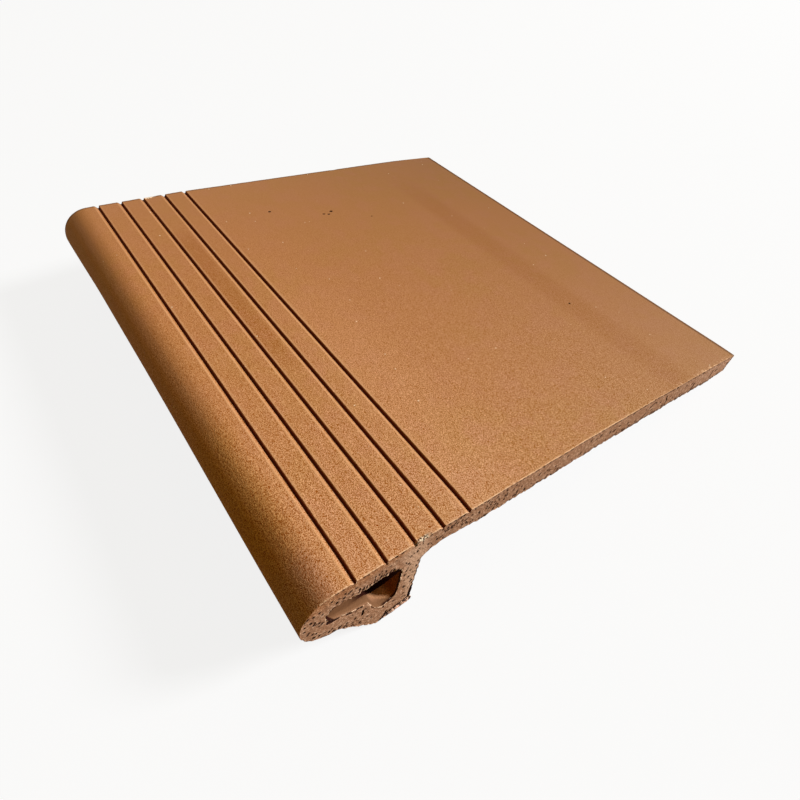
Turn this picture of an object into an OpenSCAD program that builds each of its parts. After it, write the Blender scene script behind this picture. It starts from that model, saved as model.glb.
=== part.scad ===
// Extruded terracotta stair tread with a hollow bullnose.
// Its section is drawn in [y, z], with the front of the nosing at y = 0 and the underside of its foot
// at z = 0. The finished tread lies as it rests unheld on a level floor, tipped back on to the rear
// edge of its foot and its rear bottom edge.

/* [Tread] */
// Length along the nosing, between the two wire-cut ends
length = 300; // [150:1:600]
// Depth from the front of the nosing to the rear edge
depth = 293; // [200:1:450]
// Thickness of the plate
plate_t = 13.4; // [10:0.1:20]
// Height of the nosing, from the underside of its foot to the top of the plate
nosing_h = 53.5; // [44:0.1:70]
// Radius of the two long edges at the rear of the plate
edge_r = 1.2; // [0.4:0.1:4]

/* [Nosing] */
// Radius of the bullnose
nose_r = 16.4; // [13:0.1:20]
// Fall of the grooved strip, from the plate down to the top of the bullnose
nose_fall = 1.6; // [0.2:0.1:3]
// Distance from the front of the nosing to the rear face of its foot
foot_back = 55; // [46:0.1:66]
// Width of the flat foot
foot_w = 20; // [10:0.1:24]
// Radius of the foot's two edges
foot_r = 1.5; // [0.5:0.1:3]
// Radius of the inside corner between the rear face of the foot and the plate
knee_r = 3; // [1:0.1:8]

/* [Hollow] */
// Clay in front of the hollow
front_wall = 11.4; // [7:0.1:14]
// Clay above the hollow
roof_wall = 14; // [9:0.1:18]
// Clay between the hollow and the rear face of the foot
rear_wall = 9.6; // [6:0.1:13]
// Clay below the hollow's deepest point
floor_wall = 14.6; // [9:0.1:17]
// Radius of the hollow's narrow front end
slot_r = 4.1; // [2.2:0.1:4.6]
// Distance from the front of the nosing to the step in the hollow's floor
step_y = 31; // [27:0.1:34]
// Fall of the hollow's floor from its front end to the step
slot_fall = 5.2; // [3:0.1:8]
// Radius of the hollow's upper rear corner
corner_r = 4.6; // [2:0.1:5]
// Radius of the hollow's deep rear end
well_r = 5.6; // [4:0.1:6]

/* [Anti-slip grooves] */
// Number of grooves
groove_count = 5; // [1:1:8]
// Distance from the front of the nosing to the middle of the first groove
first_groove = 21.2; // [19:0.1:30]
// Spacing of the grooves
groove_pitch = 13.8; // [8:0.1:18]
// Width of a groove at the surface
groove_w = 3.8; // [3:0.1:6]
// Depth of a groove
groove_d = 1.8; // [1.2:0.1:3]
// Radius of a groove's bottom
groove_r = 1.1; // [0.4:0.1:1.2]
// Offset of a groove's bottom towards the rear, which makes its rear flank the steeper one
groove_lean = 0.3; // [0:0.1:0.5]

/* [Hidden] */
$fn = 96;
clear = 1;     // how far a groove's cutter stands above the surface
tuck = 0.002;  // how far a straight side is tucked into the discs that round its ends

// Levels and places of the section
plate_z = nosing_h - plate_t;
roof_z = nosing_h - roof_wall;
hollow_back = foot_back - rear_wall;
foot_front = foot_back - foot_w;
last_groove = first_groove + (groove_count - 1) * groove_pitch;

// Discs of the section, each [y, z, radius]
nose = [nose_r, nosing_h - nose_fall - nose_r, nose_r];
foot_toe = [foot_front + foot_r, foot_r, foot_r];
foot_heel = [foot_back - foot_r, foot_r, foot_r];
rear_low = [depth - edge_r, plate_z + edge_r, edge_r];
rear_top = [depth - edge_r, nosing_h - edge_r, edge_r];
slot_front = [front_wall + slot_r, roof_z - slot_r, slot_r];
slot_low = [step_y, roof_z - slot_r - slot_fall, slot_r];
well_top = [step_y, roof_z - slot_r, slot_r];
well_low = [hollow_back - well_r, floor_wall + well_r, well_r];
corner = [hollow_back - corner_r, roof_z - corner_r, corner_r];

// Line from one disc to the next, anticlockwise round them: the two points where it touches.
// A disc of radius 0 is a point.
function touch(a, b) =
    let (across = [b.x - a.x, b.y - a.y],
         turn = atan2(across.y, across.x) - acos((a.z - b.z) / norm(across)),
         out = [cos(turn), sin(turn)])
    [for (d = [a, b]) [d.x, d.y] + max(0, d.z - tuck) * out];

// Tilt at which the foot's heel and the rear bottom edge are equally low
span = [rear_low.x - foot_heel.x, rear_low.y - foot_heel.y];
tilt = atan2(span.y, span.x) - asin((edge_r - foot_r) / norm(span));
function tipped(p) = [p.x * cos(tilt) + p.y * sin(tilt), p.y * cos(tilt) - p.x * sin(tilt)];
front_y = tipped(nose).x - nose_r;
rear_y = tipped(rear_top).x + edge_r;
floor_z = tipped(foot_heel).y - foot_r;

// Height of the top surface, which is level as far as the last groove and falls from there
crest = touch([last_groove, nosing_h, 0], nose)[1];
function top_z(y) = nosing_h - (nosing_h - crest.y) * (last_groove - y) / (last_groove - crest.x);

module disc(d) {
    translate([d.x, d.y]) circle(d.z);
}

// A belt round discs, which are listed anticlockwise
module belt(discs) {
    for (d = discs) disc(d);
    polygon([for (i = [0 : len(discs) - 1]) each touch(discs[i], discs[(i + 1) % len(discs)])]);
}

module solid_section() {
    difference() {
        union() {
            for (d = [nose, foot_toe, foot_heel, rear_low, rear_top]) disc(d);
            polygon(concat(
                touch([last_groove, nosing_h, 0], nose),
                [[nose.x, nose.y - nose_r + tuck]],
                touch([nose.x, nose.y - nose_r, 0], foot_toe),
                touch(foot_toe, foot_heel),
                touch(foot_heel, [foot_back, plate_z - knee_r, 0]),
                touch([foot_back + knee_r, plate_z, 0], rear_low),
                touch(rear_low, rear_top),
                touch(rear_top, [last_groove, nosing_h, 0])
            ));
        }
        disc([foot_back + knee_r, plate_z - knee_r, knee_r]);
    }
}

module hollow() {
    belt([slot_front, slot_low, corner]);
    belt([well_top, well_low, corner]);
}

// A flank's line, carried on past the lip of the groove
function raised(lip, foot) = lip + (lip - foot) * clear / (lip.y - foot.y);

module groove() {
    low = [groove_lean, groove_r - groove_d, groove_r];
    front_flank = touch([-groove_w / 2, 0, 0], low);
    rear_flank = touch(low, [groove_w / 2, 0, 0]);
    disc(low);
    polygon([raised(front_flank[0], front_flank[1]), front_flank[1],
             rear_flank[0], raised(rear_flank[1], rear_flank[0])]);
}

module section() {
    difference() {
        solid_section();
        hollow();
        for (i = [0 : groove_count - 1]) {
            y = first_groove + i * groove_pitch;
            translate([y, top_z(y)]) groove();
        }
    }
}

module stair_tread() {
    color("#b9734a")
        translate([0, -(front_y + rear_y) / 2, -floor_z])
            rotate([-tilt, 0, 0])
                rotate([90, 0, 90])
                    linear_extrude(length, center = true)
                        section();
}

stair_tread();
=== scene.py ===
# %% [markdown]
# # A terracotta stair tread
#
# The real object is one piece of clay. An extruder pushes a long bar of stiff clay through a steel
# die, which gives it the plate, the bullnose, the hollow and the five anti-slip grooves all at once.
# A wire then cuts the bar into treads, and the kiln turns them orange. So the shape follows one rule,
# a section carried along a line, and everything else on it is what the wire, the drying floor and the
# splitting hammer left behind. The scene is built in that order.
#
# The imported model is loaded first. Its box is printed, and at the end the tread takes the place of its
# part and rides on its body.

# %% Load the imported model
import math
import random

import bmesh
import bpy
import numpy as np
from mathutils import Matrix, Vector
from mathutils.geometry import delaunay_2d_cdt
from mathutils.kdtree import KDTree


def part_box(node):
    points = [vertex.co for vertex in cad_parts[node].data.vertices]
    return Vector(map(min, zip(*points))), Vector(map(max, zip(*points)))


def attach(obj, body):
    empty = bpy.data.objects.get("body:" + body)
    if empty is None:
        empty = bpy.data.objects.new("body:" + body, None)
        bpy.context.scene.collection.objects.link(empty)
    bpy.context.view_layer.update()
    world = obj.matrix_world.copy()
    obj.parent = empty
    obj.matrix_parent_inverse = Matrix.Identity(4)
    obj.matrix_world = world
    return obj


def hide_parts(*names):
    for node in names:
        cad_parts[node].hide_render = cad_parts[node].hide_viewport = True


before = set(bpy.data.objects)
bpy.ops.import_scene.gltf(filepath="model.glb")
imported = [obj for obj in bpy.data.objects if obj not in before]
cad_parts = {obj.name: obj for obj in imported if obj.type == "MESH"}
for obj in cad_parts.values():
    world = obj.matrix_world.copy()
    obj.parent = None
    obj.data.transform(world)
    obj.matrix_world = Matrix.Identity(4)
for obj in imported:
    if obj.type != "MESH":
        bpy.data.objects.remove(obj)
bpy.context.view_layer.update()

BODY, NODE, SLOT = "root", "stair_tread", "fired_clay"
box_low, box_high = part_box(NODE)
print("the tread's box:", [round(v, 4) for v in (*box_low, *box_high)])

# %% [markdown]
# ## Camera
#
# The tread is seen from above its near front corner, from about 36 cm away, through a wide lens. That
# closeness is what makes the far end look so much narrower than the near one. The camera's rotation is
# given by its own axes, which keeps the slight roll of a camera held by hand.

# %% Camera
eye = Vector((0.21341, -0.15261, 0.24371))
rightwards = Vector((0.58985, 0.80743, 0.01116))
upwards = Vector((-0.62688, 0.44916, 0.63662))
camera_data = bpy.data.cameras.new("camera")
camera_data.sensor_width = 36
camera_data.lens = 24.372
camera_data.clip_start = 0.01
camera = bpy.data.objects.new("camera", camera_data)
turned = Matrix((rightwards, upwards, rightwards.cross(upwards))).transposed()
camera.matrix_world = Matrix.Translation(eye) @ turned.to_4x4()
bpy.context.scene.collection.objects.link(camera)
bpy.context.scene.camera = camera
bpy.context.scene.view_settings.view_transform = "Standard"
print("camera", round(eye.length, 3), "m from the middle of the tread's footprint")

# %% [markdown]
# ## A short way to write node trees
#
# Materials and Geometry Nodes are both trees of nodes joined by sockets. Adding them one by one hides
# the sums that they do. So one small class wraps a socket and gives it Python's operators: `1 - mask`
# then adds a Math node by itself. Any other node comes from `add`, which takes its type, its settings
# and what goes into its sockets.

# %% A wrapper for sockets
class Wire:
    """A socket of a node tree that can stand in a Python expression."""

    def __init__(self, socket):
        self.socket, self.tree = socket, socket.id_data

    def sum(self, operation, *after, before=()):
        """A Math or Vector Math node on this socket and on what comes after or before it."""
        kind = "ShaderNodeVectorMath" if self.socket.type == "VECTOR" else "ShaderNodeMath"
        return add(self.tree, kind, {"operation": operation}, dict(enumerate((*before, self, *after))))

    def __add__(self, other): return self.sum("ADD", other)
    def __sub__(self, other): return self.sum("SUBTRACT", other)
    def __rsub__(self, other): return self.sum("SUBTRACT", before=(other,))
    def __truediv__(self, other): return self.sum("DIVIDE", other)
    def __rtruediv__(self, other): return self.sum("DIVIDE", before=(other,))
    def __pow__(self, other): return self.sum("POWER", other)
    def __neg__(self): return self * -1.0

    def __mul__(self, other):
        if self.socket.type == "VECTOR":
            return add(self.tree, "ShaderNodeVectorMath", {"operation": "SCALE"}, {0: self, "Scale": other})
        return self.sum("MULTIPLY", other)

    __radd__, __rmul__ = __add__, __mul__

    def least(self, other): return self.sum("MINIMUM", other)
    def most(self, other): return self.sum("MAXIMUM", other)
    def held(self): return self.least(1.0).most(0.0)

    def ramp(self, low, high, start=0.0, end=1.0, kind="SMOOTHSTEP"):
        """From start, below low, to end, above high."""
        return add(self.tree, "ShaderNodeMapRange", {"interpolation_type": kind},
                   {"Value": self, "From Min": low, "From Max": high, "To Min": start, "To Max": end})

    def fade(self, low, high): return self.ramp(low, high, 1.0, 0.0)

    def band(self, low, high, fade_low, fade_high):
        """0, then 1 between high and fade_low, then 0 again."""
        return self.ramp(low, high) * self.fade(fade_low, fade_high)

    def part(self, axis):
        return add(self.tree, "ShaderNodeSeparateXYZ", {}, {"Vector": self}, out=axis)

    def other(self, name):
        """Another output of the same node."""
        return Wire(self.socket.node.outputs[name])


def add(tree, kind, settings=None, sockets=None, out=0):
    """A new node of that kind. Settings come first, because they can change which sockets there are."""
    node = tree.nodes.new(kind)
    for name, value in (settings or {}).items():
        setattr(node, name, value)
    for key, value in (sockets or {}).items():
        socket = node.inputs[key] if isinstance(key, int) else next(
            s for s in sorted(node.inputs, key=lambda s: s.identifier != key)
            if key in (s.identifier, s.name))
        if isinstance(value, Wire):
            tree.links.new(value.socket, socket)
        else:
            socket.default_value = value
    return Wire(node.outputs[out]) if len(node.outputs) else node


def triple(tree, x=0.0, y=0.0, z=0.0):
    return add(tree, "ShaderNodeCombineXYZ", {}, {"X": x, "Y": y, "Z": z})


def noise(tree, where, size, seed, detail, roughness=0.5):
    """Soft random values round 0.5, whose features are about `size` metres wide."""
    return add(tree, "ShaderNodeTexNoise", {"noise_dimensions": "4D"}, {
        "Vector": where, "W": seed, "Scale": 1 / size, "Detail": detail, "Roughness": roughness})


print("wrapper ready")

# %% [markdown]
# ## Floor, backdrop and lamps
#
# The floor is a large sheet that looks nearly white to the camera and still takes the tread's shadow.
# For light that bounces it is a dull warm brown, so that the underside of the nosing isn't lit up from
# below. The world does the same: white to the camera, and a weak warm glow to the object.

# %% Floor and world
WARM_BOUNCE, WARM_SKY = (0.13, 0.078, 0.022, 1), (1.0, 0.74, 0.24, 1)
PAPER, WHITE = (0.9, 0.9, 0.9, 1), (1, 1, 1, 1)


def finish(tree, kind, dim, bright):
    """Ends a tree with its bright shader for what the camera sees, also in a mirror or through glass,
    and with its dim one for light that bounces."""
    path = add(tree, "ShaderNodeLightPath")
    seen = (path + path.other("Is Glossy Ray") + path.other("Is Transmission Ray")).held()
    both = add(tree, "ShaderNodeMixShader", {}, {0: seen, 1: dim, 2: bright})
    add(tree, kind, {}, {"Surface": both})


def new_tree(owner):
    owner.use_nodes = True
    owner.node_tree.nodes.clear()
    return owner.node_tree


floor_material = bpy.data.materials.new("pale floor")
tree = new_tree(floor_material)
bounce = add(tree, "ShaderNodeBsdfDiffuse", {}, {"Color": WARM_BOUNCE})
paper = add(tree, "ShaderNodeBsdfDiffuse", {}, {"Color": PAPER})
glow = add(tree, "ShaderNodeEmission", {}, {"Color": WHITE, "Strength": 1.0})
white = add(tree, "ShaderNodeMixShader", {}, {0: 0.85, 1: paper, 2: glow})
finish(tree, "ShaderNodeOutputMaterial", bounce, white)

reach = 3.0
floor_mesh = bpy.data.meshes.new("floor")
floor_mesh.from_pydata([(-reach, -reach, 0), (reach, -reach, 0), (reach, reach, 0), (-reach, reach, 0)],
                       [], [(0, 1, 2, 3)])
floor_mesh.materials.append(floor_material)
floor = bpy.data.objects.new("floor", floor_mesh)
bpy.context.scene.collection.objects.link(floor)

world = bpy.data.worlds.new("studio")
bpy.context.scene.world = world
tree = new_tree(world)
ambient = add(tree, "ShaderNodeBackground", {}, {"Color": WARM_SKY, "Strength": 0.165})
white = add(tree, "ShaderNodeBackground", {}, {"Color": WHITE, "Strength": 1.0})
finish(tree, "ShaderNodeOutputWorld", ambient, white)
print("floor", 2 * reach, "m square")

# %% [markdown]
# One large soft lamp stands behind the tread, to the right. Raking light from behind is what draws the
# grooves: their front lips catch it and their rear flanks turn away from it. A weak lamp low on the
# left fills the shade on the far end, and only brushes the top.

# %% Lamps
def lamp(name, place, target, width, watts, colour):
    data = bpy.data.lights.new(name, "AREA")
    data.shape, data.size = "DISK", width
    data.energy, data.color = watts, colour
    thing = bpy.data.objects.new(name, data)
    bpy.context.scene.collection.objects.link(thing)
    thing.matrix_world = (Matrix.Translation(place)
                          @ (Vector(place) - Vector(target)).to_track_quat("Z", "Y").to_matrix().to_4x4())
    print(name, "at", [round(v, 2) for v in place])


KEY_TOWARDS = Vector((0.42, 0.72, 0.56)).normalized()
KEY_DISTANCE = 6.0
lamp("soft key", KEY_TOWARDS * KEY_DISTANCE, (0, 0, 0), 1.5, 436.0, (0.95, 0.97, 1.0))
lamp("low fill", (-5.9, 1.2, 0.40), (0, 0, 0.02), 0.8, 80.0, (1.0, 0.97, 0.93))

# %% [markdown]
# ## The section
#
# This is the shape of the die's opening, without its grooves. It is the same section as the solid
# model's, in millimetres: y runs back from the front of the nosing, and z up from the underside of the
# foot. Discs make its round corners, and straight lines run from one disc to the next.

# %% Section sizes
MM = 0.001
LENGTH, DEPTH, PLATE, NOSING = 300.0, 293.0, 13.4, 53.5
EDGE_R, NOSE_R, NOSE_FALL = 1.2, 16.4, 1.6
FOOT_BACK, FOOT_WIDTH, FOOT_R, KNEE_R = 55.0, 20.0, 1.5, 3.0
GROOVES, FIRST_GROOVE, GROOVE_PITCH, GROOVE_WIDTH, GROOVE_DEPTH = 5, 21.2, 13.8, 3.8, 1.8
LAST_GROOVE = FIRST_GROOVE + (GROOVES - 1) * GROOVE_PITCH
UNDERSIDE = NOSING - PLATE

nose = (NOSE_R, NOSING - NOSE_FALL - NOSE_R, NOSE_R)
foot_toe = (FOOT_BACK - FOOT_WIDTH + FOOT_R, FOOT_R, FOOT_R)
foot_heel = (FOOT_BACK - FOOT_R, FOOT_R, FOOT_R)
rear_low = (DEPTH - EDGE_R, UNDERSIDE + EDGE_R, EDGE_R)
rear_top = (DEPTH - EDGE_R, NOSING - EDGE_R, EDGE_R)
slot_front, slot_low = (15.5, 35.4, 4.1), (31.0, 30.2, 4.1)
well_top, well_low = (31.0, 35.4, 4.1), (39.8, 20.2, 5.6)
corner = (40.8, 34.9, 4.6)
HOLLOW_MIDDLE = (35.0, 34.0)


def touch(a, b):
    """Angle of the points where a line touches two discs, with both on its left."""
    across = (b[0] - a[0], b[1] - a[1])
    return math.atan2(across[1], across[0]) - math.acos((a[2] - b[2]) / math.hypot(*across))


def on(disc, angle):
    return (disc[0] + disc[2] * math.cos(angle), disc[1] + disc[2] * math.sin(angle))


def arc(disc, start, end, step):
    """Points round a disc, anticlockwise if end is more than start."""
    count = max(2, math.ceil(abs(end - start) * disc[2] / step))
    return [on(disc, start + (end - start) * i / count) for i in range(count + 1)]


def belt(discs):
    angles = [touch(a, b) for a, b in zip(discs, discs[1:] + discs[:1])]
    points = []
    for i, disc in enumerate(discs):
        start, end = angles[i - 1], angles[i]
        while end < start:
            end += 2 * math.pi
        points += arc(disc, start, end, 0.1)
    return points


tilt = touch(foot_heel, rear_low) + math.pi / 2
print("the tread rests tipped back by", round(math.degrees(tilt), 3), "degrees")

# %% [markdown]
# The outline runs from disc to disc, anticlockwise from the rear of the top. Its points lie close
# together where it bends and in the grooves, and far apart along the plate.

# %% Outer outline
fall_start = touch((LAST_GROOVE, NOSING, 0), nose) % (2 * math.pi)
crest = on(nose, fall_start)


def top_z(y):
    """Level of the top surface: flat as far as the last groove, and from there down to the nose."""
    return NOSING - (NOSING - crest[1]) * min(1, max(0, (LAST_GROOVE - y) / (LAST_GROOVE - crest[0])))


def stretch(a, b, step):
    """Points from a towards b, without b."""
    count = max(1, round(math.hypot(b[0] - a[0], b[1] - a[1]) / step))
    return [(a[0] + (b[0] - a[0]) * i / count, a[1] + (b[1] - a[1]) * i / count) for i in range(count)]


def top_stations():
    """Places along the top where it needs points: close together in the grooves, and far apart between."""
    half, fine = GROOVE_WIDTH / 2 + 0.5, 28
    places, y = [], DEPTH - EDGE_R
    for k in reversed(range(GROOVES)):
        middle = FIRST_GROOVE + k * GROOVE_PITCH
        gap = y - (middle + half)
        count = max(1, round(gap / (1.6 if gap > 20 else 0.95)))
        places += [y - gap * i / count for i in range(count)]
        places += [middle + half - 2 * half * i / fine for i in range(fine)]
        y = middle - half
    count = round((y - crest[0]) / 0.9)
    return places + [y - (y - crest[0]) * i / count for i in range(count)]


outer = arc(rear_top, 0, math.pi / 2, 0.3)[:-1]
outer += [(y, top_z(y)) for y in top_stations()]
outer += arc(nose, fall_start, 1.5 * math.pi, 0.7)[:-1]
toe_angle = touch((nose[0], nose[1] - NOSE_R, 0), foot_toe)
outer += stretch((nose[0], nose[1] - NOSE_R), on(foot_toe, toe_angle), 0.6)
outer += arc(foot_toe, toe_angle % (2 * math.pi), 1.5 * math.pi, 0.3)[:-1]
outer += stretch((foot_toe[0], 0), (foot_heel[0], 0), 0.45)
outer += arc(foot_heel, 1.5 * math.pi, 2 * math.pi, 0.3)[:-1]
outer += stretch((FOOT_BACK, FOOT_R), (FOOT_BACK, UNDERSIDE - KNEE_R), 0.7)
outer += arc((FOOT_BACK + KNEE_R, UNDERSIDE - KNEE_R, KNEE_R), math.pi, math.pi / 2, 0.5)[:-1]
outer += stretch((FOOT_BACK + KNEE_R, UNDERSIDE), (rear_low[0], UNDERSIDE), 1.0)
outer += arc(rear_low, 1.5 * math.pi, 2 * math.pi, 0.3)[:-1]
outer += stretch((DEPTH, rear_low[1]), (DEPTH, rear_top[1]), 0.7)
print("outer outline:", len(outer), "points")

# %% [markdown]
# The hollow is two convex shapes that overlap. A line from a point that both contain leaves them
# together where the one that reaches further ends, so walking round that point gives the outline of
# the two together.

# %% Outline of the hollow
def exits(outline, angle):
    """How far the line at that angle from the hollow's middle runs before it leaves a convex outline."""
    ray = (math.cos(angle), math.sin(angle))
    for a, b in zip(outline, outline[1:] + outline[:1]):
        ax, ay = a[0] - HOLLOW_MIDDLE[0], a[1] - HOLLOW_MIDDLE[1]
        ex, ey = b[0] - a[0], b[1] - a[1]
        cross = ray[0] * ey - ray[1] * ex
        if abs(cross) > 1e-9:
            along, share = (ax * ey - ay * ex) / cross, (ax * ray[1] - ay * ray[0]) / cross
            if along > 0 and -1e-6 <= share <= 1 + 1e-6:
                return along
    return 0.0


def even(points, step):
    loop = np.array(points + points[:1])
    run = np.concatenate([[0], np.cumsum(np.hypot(*np.diff(loop, axis=0).T))])
    at = np.linspace(0, run[-1], round(run[-1] / step), endpoint=False)
    return [(float(y), float(z)) for y, z in zip(np.interp(at, run, loop[:, 0]),
                                                 np.interp(at, run, loop[:, 1]))]


slot, well = belt([slot_front, slot_low, corner]), belt([well_top, well_low, corner])
rays = [2 * math.pi * i / 720 for i in range(720)]
hollow = even([(HOLLOW_MIDDLE[0] + r * math.cos(t), HOLLOW_MIDDLE[1] + r * math.sin(t))
               for t in rays for r in [max(exits(slot, t), exits(well, t))]], 0.55)
print("hollow:", len(hollow), "points")

# %% [markdown]
# ## The two cut ends
#
# A wire pulled through stiff clay drags the grit along, so the face that it leaves is full of small
# pits, stretched the way the wire went. They are real hollows here. Each one puts two rings of points
# and a middle into the flat face before that is divided into triangles, so it has a wall and a floor.
#
# A Delaunay triangulation joins the outline, the pits and a lattice of points between them. It makes
# well-shaped triangles whatever the outline, where filling the outline alone would make long slivers
# that can't bend.

# %% Where the pits are
# Each zone: from, to, how far the pits stray from the line between, how many, the radius, the stretch
NEAR_ZONES = [
    ((4.5, 42.0), (9.5, 31.0), 2.2, 18, 0.54, 1.3), ((2.6, 33.0), (8.0, 25.0), 1.0, 8, 0.50, 1.3),
    ((9.0, 24.0), (16.0, 21.0), 0.9, 11, 0.50, 1.5), ((10.5, 45.5), (22.0, 44.0), 1.2, 10, 0.42, 1.7),
    ((16.0, 41.0), (27.0, 42.6), 0.6, 9, 0.44, 1.9), ((26.5, 45.5), (38.5, 43.2), 1.0, 10, 0.42, 2.2),
    ((49.5, 44.5), (51.0, 17.0), 1.7, 30, 0.42, 2.0), ((53.4, 38.0), (53.6, 12.0), 0.4, 12, 0.38, 1.8),
    ((17.0, 19.0), (32.0, 11.5), 1.7, 30, 0.42, 1.6), ((22.0, 25.0), (34.0, 17.5), 2.0, 9, 0.32, 1.3),
    ((40.0, 14.0), (50.0, 9.0), 1.6, 8, 0.32, 1.3), ((56.5, 43.0), (73.5, 52.0), 1.4, 30, 0.42, 2.2),
    ((64.0, 45.0), (104.0, 45.5), 2.0, 40, 0.42, 1.7),
    ((74.0, 47.5), (130.0, 46.0), 3.6, 45, 0.42, 2.2), ((130.0, 46.0), (289.0, 47.0), 4.6, 50, 0.44, 2.4),
    ((60.0, 41.5), (289.0, 41.5), 0.5, 40, 0.42, 1.8), ((40.0, 48.5), (80.0, 49.5), 2.4, 16, 0.28, 1.2),
]
FAR_ZONES = [
    ((4.0, 40.0), (12.0, 26.0), 3.0, 22, 0.45, 1.4), ((14.0, 46.0), (44.0, 45.0), 2.6, 26, 0.42, 2.0),
    ((50.0, 42.0), (50.5, 8.0), 2.0, 24, 0.42, 2.0), ((16.0, 18.0), (40.0, 6.0), 2.4, 26, 0.42, 1.6),
    ((60.0, 46.5), (289.0, 47.0), 5.0, 130, 0.5, 2.2),
]
WIRE_ANGLE = math.radians(78)


def make_pits(zones, seed):
    """A list of pits that keep clear of each other: place, radius, stretch, direction and depth."""
    draw = random.Random(seed)
    pits = []
    for start, end, stray, count, radius, stretched in zones:
        for _ in range(count):
            t = draw.random()
            y = start[0] + (end[0] - start[0]) * t + draw.gauss(0, stray)
            z = start[1] + (end[1] - start[1]) * t + draw.gauss(0, stray)
            r = 0.7 * radius * draw.uniform(0.6, 1.4)
            pit = (y, z, r, max(1.3, stretched * draw.uniform(0.7, 1.2)),
                   WIRE_ANGLE + draw.gauss(0, 0.22), r * draw.uniform(1.4, 2.6))
            clear = all(math.hypot(y - q[0], z - q[1]) > 0.7 * (r * pit[3] + q[2] * q[3]) + 0.5
                        for q in pits)
            if clear:
                pits.append(pit)
    return pits


print(len(NEAR_ZONES), "zones at the near end,", len(FAR_ZONES), "at the far end")

# %% [markdown]
# Two rows are more regular: a string of small pits just under the top arris, and long strokes above the
# hollow, where the wire came out over the edge of its roof.

# %% Rows of pits
def beads(seed):
    draw = random.Random(seed)
    pits, y = [], 12.0
    while y < DEPTH - 3:
        y += draw.uniform(1.1, 3.4)
        r = draw.uniform(0.2, 0.36)
        on_land = abs((y - FIRST_GROOVE + GROOVE_PITCH / 2) % GROOVE_PITCH - GROOVE_PITCH / 2) > 3
        if on_land or y > LAST_GROOVE + 4:
            pits.append((y, top_z(y) - draw.uniform(0.9, 1.3), r, 1.7, draw.gauss(0.3, 0.3), r * 2))
    return pits


def strokes(seed):
    draw = random.Random(seed)
    pits, y = [], 23.0
    while y < 41:
        y += draw.uniform(1.1, 2.0)
        r = draw.uniform(0.22, 0.32)
        pits.append((y, 41.3 + draw.gauss(0, 0.25), r, 2.9, math.radians(74) + draw.gauss(0, 0.1), r * 2))
    return pits


def in_pit(points, pit):
    """Distance of each point from a pit's middle, where 1 is its rim."""
    y, z, r, stretched, lean, _ = pit
    dy, dz = points[:, 0] - y, points[:, 1] - z
    along = (dy * math.cos(lean) + dz * math.sin(lean)) / (r * stretched)
    return np.hypot(along, (dz * math.cos(lean) - dy * math.sin(lean)) / r)


LARGE_PIT = (57.3, 52.2, 0.62, 1.3, 0.6, 1.4)
near_pits = make_pits(NEAR_ZONES, 11) + beads(6) + strokes(2) + [LARGE_PIT]
far_pits = make_pits(FAR_ZONES, 5) + beads(8)
print("pits:", len(near_pits), "at the near end,", len(far_pits), "at the far end")

# %% [markdown]
# The foot was joined to the foot of a second tread while both were fired, and the two were knocked
# apart. That leaves a ragged strip of torn clay along the bottom of the foot, with a crack between it
# and the sound clay above. The crack is a line of points here, and the strip gets a rough surface.
#
# Other cracks opened where the wire bent thin edges over: under the lip of the hollow's floor, and
# behind the heel. On the top arris a flake has come off between two grooves.

# %% Cracks and a flake
FOOT_CRACK = [(39.6, -0.5), (41.0, 1.4), (42.6, 2.6), (45.2, 3.4), (47.6, 4.6), (50.2, 4.7), (52.9, 5.3),
              (55.5, 6.3)]
# Each crack: its points, how wide it is and how deep
CRACKS = [
    (FOOT_CRACK, 0.72, 2.4),
    ([(41.0, -0.2), (41.4, 2.0), (42.0, 5.6)], 0.4, 1.8),
    ([(43.8, -0.2), (43.9, 1.6), (44.0, 3.4)], 0.4, 1.6),
    ([(54.5, 6.0), (54.5, 10.5), (54.7, 14.0)], 1.2, 2.4),
    ([(20.6, 27.4), (22.6, 26.4), (25.0, 26.5), (27.4, 25.8)], 0.42, 2.0),
    ([(12.6, 30.6), (14.2, 30.2), (16.4, 30.2)], 1.1, 2.4),
    ([(28.5, 17.6), (28.7, 21.4)], 0.4, 1.6),
    ([(16.6, 13.8), (17.6, 20.5)], 0.3, 1.0),
    ([(66.8, 47.2), (70.5, 49.2)], 0.25, 1.0),
    ([(206.5, 41.0), (209.0, 46.0), (213.0, 49.5)], 0.35, 1.4),
    ([(228.5, 40.6), (226.8, 44.5), (224.5, 49.0)], 0.3, 1.2),
    ([(256.5, 40.4), (255.5, 45.0)], 0.5, 1.4),
    ([(274.5, 42.5), (273.0, 48.0)], 0.35, 1.2),
]
FLAKE = (53.8, NOSING, 3.6)


def to_line(points, line):
    """Distance of each point from a line of points, less than 0 on its right."""
    line = np.array(line)
    nearest, side = np.full(len(points), 99.0), np.ones(len(points))
    for a, b in zip(line, line[1:]):
        t = np.clip(((points - a) @ (b - a)) / ((b - a) @ (b - a)), 0, 1)
        off = points - (a + t[:, None] * (b - a))
        d = np.hypot(off[:, 0], off[:, 1])
        turn = (b[0] - a[0]) * (points[:, 1] - a[1]) - (b[1] - a[1]) * (points[:, 0] - a[0])
        side = np.where(d < nearest, np.sign(turn), side)
        nearest = np.minimum(nearest, d)
    return nearest * np.where(side == 0, 1, side)


print(len(CRACKS), "cracks")

# %% [markdown]
# Of each point in a face it has to be known whether it is in the clay, how far it is from the outline,
# and how ragged the wire left the arris there.

# %% Where a point of a face lies
outline = np.array(outer + hollow)
edges = [(i, (i + 1) % len(outer)) for i in range(len(outer))]
edges += [(len(outer) + i, len(outer) + (i + 1) % len(hollow)) for i in range(len(hollow))]


def finder(points):
    found = KDTree(len(points))
    for i, (y, z) in enumerate(points):
        found.insert((y, z, 0), i)
    found.balance()
    return found


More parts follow.
